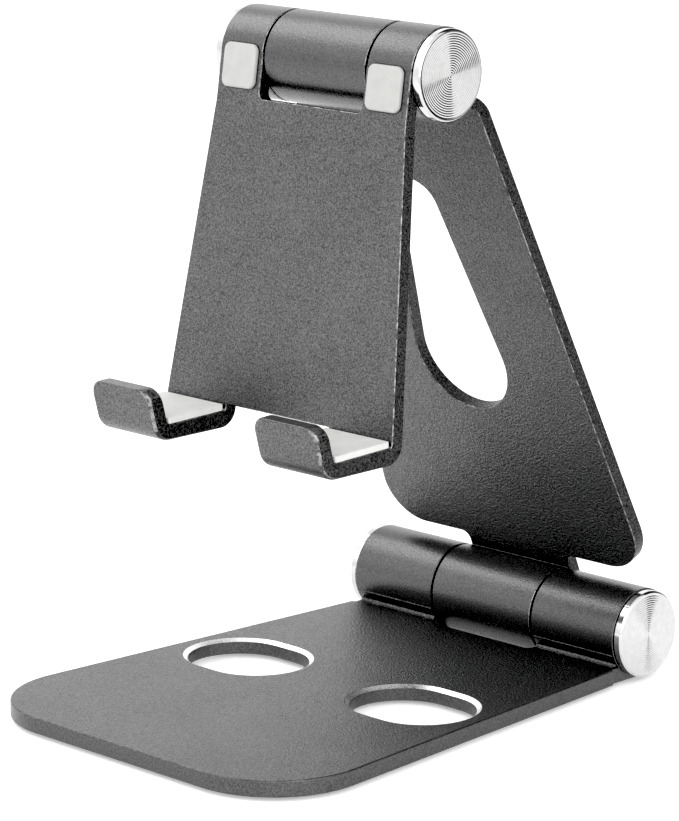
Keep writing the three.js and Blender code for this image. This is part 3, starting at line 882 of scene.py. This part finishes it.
def cap_profile(end):
    """Closed turned profile of a cap: ringed face, chamfered rim and hollow spigot."""
    inside, outside, deepest = end + 0.2, end + 2.1, end - 2.6
    radius, ringed, spigot, hollow = 9.75, 9.1, 6.75, 5.55
    pitch, depth = 0.5, 0.055
    points = [(outside, 0.0)]
    r = pitch / 2
    while r < ringed:
        points += [(outside - depth, r), (outside, r + pitch / 2)]
        r += pitch
    points += [(outside - 0.01, 9.3), (outside - 0.06, 9.40), (outside - 0.30, 9.68),
               (outside - 0.40, radius)]
    points += [(inside + 0.15, radius), (inside, radius - 0.15), (inside, spigot),
               (deepest, spigot), (deepest, hollow), (inside, hollow), (inside, 0.0)]
    return points


def build_caps():
    ring_angle = 15  # degrees; low enough to keep the ridges between the rings crisp
    hinges = (
        ("lower", LOWER_END, LOWER_FRAME, "base"),
        ("upper", UPPER_END, HOLDER_FRAME, "holder"),
    )
    for prefix, end, place, body in hinges:
        for word, side in SIDES.items():
            profile = [(side * x, r) for x, r in cap_profile(end)]
            node = f"{prefix}_cap_{word}"
            cap = to_object(node + "_spun", lathe_x(profile, 192))
            finish_piece(cap, place, body, [node], [CAP_METAL], ring_angle)


# ------------------------------------------------------------------ hidden hardware


def dress_hardware():
    """The bolts, nuts and washers keep their CAD shapes and get these materials."""
    looks = {"hinge_bolt": ZINC, "lock_nut": ZINC, "plain_washer": ZINC,
             "spring_washer": SPRING, "friction_washer": NYLON}
    for name, obj in frame["nodes"].items():
        for key, material in looks.items():
            if key in name:
                for slot in obj.material_slots:
                    slot.material = material
                if not obj.material_slots:
                    obj.data.materials.append(material)


build_base()
build_feet()
build_arm()
build_holder()
build_top_pads()
build_hook_pads()
build_caps()
dress_hardware()

# ------------------------------------------------------------------ floor and light


def add_floor():
    """White paper under the object. It ends on the right, where the caps reflect the dark side
    of the sky instead."""
    left, right, front, rear, level = -5.0, 0.45, -4.0, 5.0, -0.0002
    corners = [(left, front), (right, front), (right, rear), (left, rear)]
    bm = bmesh.new()
    bm.faces.new([bm.verts.new((x, y, level)) for x, y in corners])
    floor = to_object("floor", bm)
    n = Nodes("floor_paper")
    tone = n.ramp(n.noise(3, 2.0, 0.5), [(0.3, 0.85), (0.7, 0.88)])
    paper = n.set(Base_Color=tone, Roughness=0.7, Emission_Color=(1.0, 1.0, 1.0, 1.0),
                  Emission_Strength=0.35)
    floor.data.materials.append(paper)


def add_light(name, direction, distance, size, radiance):
    """Soft box in a direction from the object, facing it, of a given brightness."""
    aim = Vector((0, 0, 0.08))
    data = bpy.data.lights.new(name, "AREA")
    data.shape = "RECTANGLE"
    data.size, data.size_y = size
    data.energy = radiance * math.pi * size[0] * size[1]
    light = bpy.data.objects.new(name, data)
    towards = Vector(direction).normalized()
    light.location = aim + towards * distance
    light.rotation_euler = towards.to_track_quat("Z", "Y").to_euler()
    bpy.context.scene.collection.objects.link(light)


class Sky(Wiring):
    """World brightness as a product of smooth steps along given directions."""

    def __init__(self):
        world = bpy.data.worlds.new("studio")
        bpy.context.scene.world = world
        world.use_nodes = True
        super().__init__(world.node_tree)
        self.heading = self.add("ShaderNodeTexCoord").outputs["Generated"]

    def step(self, direction, start, end, low, high):
        """Goes from low to high as the heading turns towards a direction. start and end are
        cosines of the angle between the two."""
        dot = self.add("ShaderNodeVectorMath", "DOT_PRODUCT")
        self.link(self.heading, dot.inputs[0])
        dot.inputs[1].default_value = Vector(direction).normalized()
        remap = self.add("ShaderNodeMapRange")
        remap.interpolation_type = "SMOOTHSTEP"
        limits = {"From Min": start, "From Max": end, "To Min": low, "To Max": high}
        for name, value in limits.items():
            remap.inputs[name].default_value = value
        self.link(dot.outputs["Value"], remap.inputs["Value"])
        return remap.outputs["Result"]

    def shine(self, value):
        """Lights the world; behind the object it looks plain white, like the floor."""
        white = 1.1
        seen = self.add("ShaderNodeLightPath").outputs["Is Camera Ray"]
        background = self.tree.nodes["Background"]
        background.inputs["Color"].default_value = (1, 1, 1, 1)
        level = self.math("MAXIMUM", value, self.math("MULTIPLY", seen, white))
        self.link(level, background.inputs["Strength"])


def add_world():
    """Bright studio, brighter to the front and about 24 degrees up, and almost dark in the
    quarter on the right behind the object, which draws the dark sectors on the caps."""
    right, rear, up, ahead = (1, 0, 0), (0, 1, 0), (0, 0, 1), (-0.715, 0.698, 0)
    darkening = 0.97
    sky = Sky()
    level = sky.step(rear, -0.8, 0.8, low=1.45, high=1.24)
    height = sky.math("MULTIPLY", sky.step(up, 0.1, 0.4, low=1.0, high=1.35),
                      sky.step(up, 0.4, 0.75, low=1.0, high=0.78))
    dark_side = sky.math("MULTIPLY", sky.step(ahead, -0.04, 0.03, low=0.0, high=1.0),
                         sky.step(right, -0.1, 0.15, low=0.0, high=1.0))
    lit = sky.math("SUBTRACT", 1.0, sky.math("MULTIPLY", dark_side, darkening))
    sky.shine(sky.math("MULTIPLY", sky.math("MULTIPLY", level, height), lit))


def set_tone():
    """Plain colours with slightly deeper blacks."""
    black = 0.0245
    view = bpy.context.scene.view_settings
    view.view_transform = "Standard"
    view.use_curve_mapping = True
    view.curve_mapping.black_level = (black, black, black)
    view.curve_mapping.update()


add_floor()
add_world()
add_light("left_box", (-0.65, -0.15, 0.73), distance=1.0, size=(0.70, 0.33), radiance=2.65)
add_light("right_box", (0.9, -0.3, 0.35), distance=1.2, size=(0.9, 0.9), radiance=1.8)
set_tone()
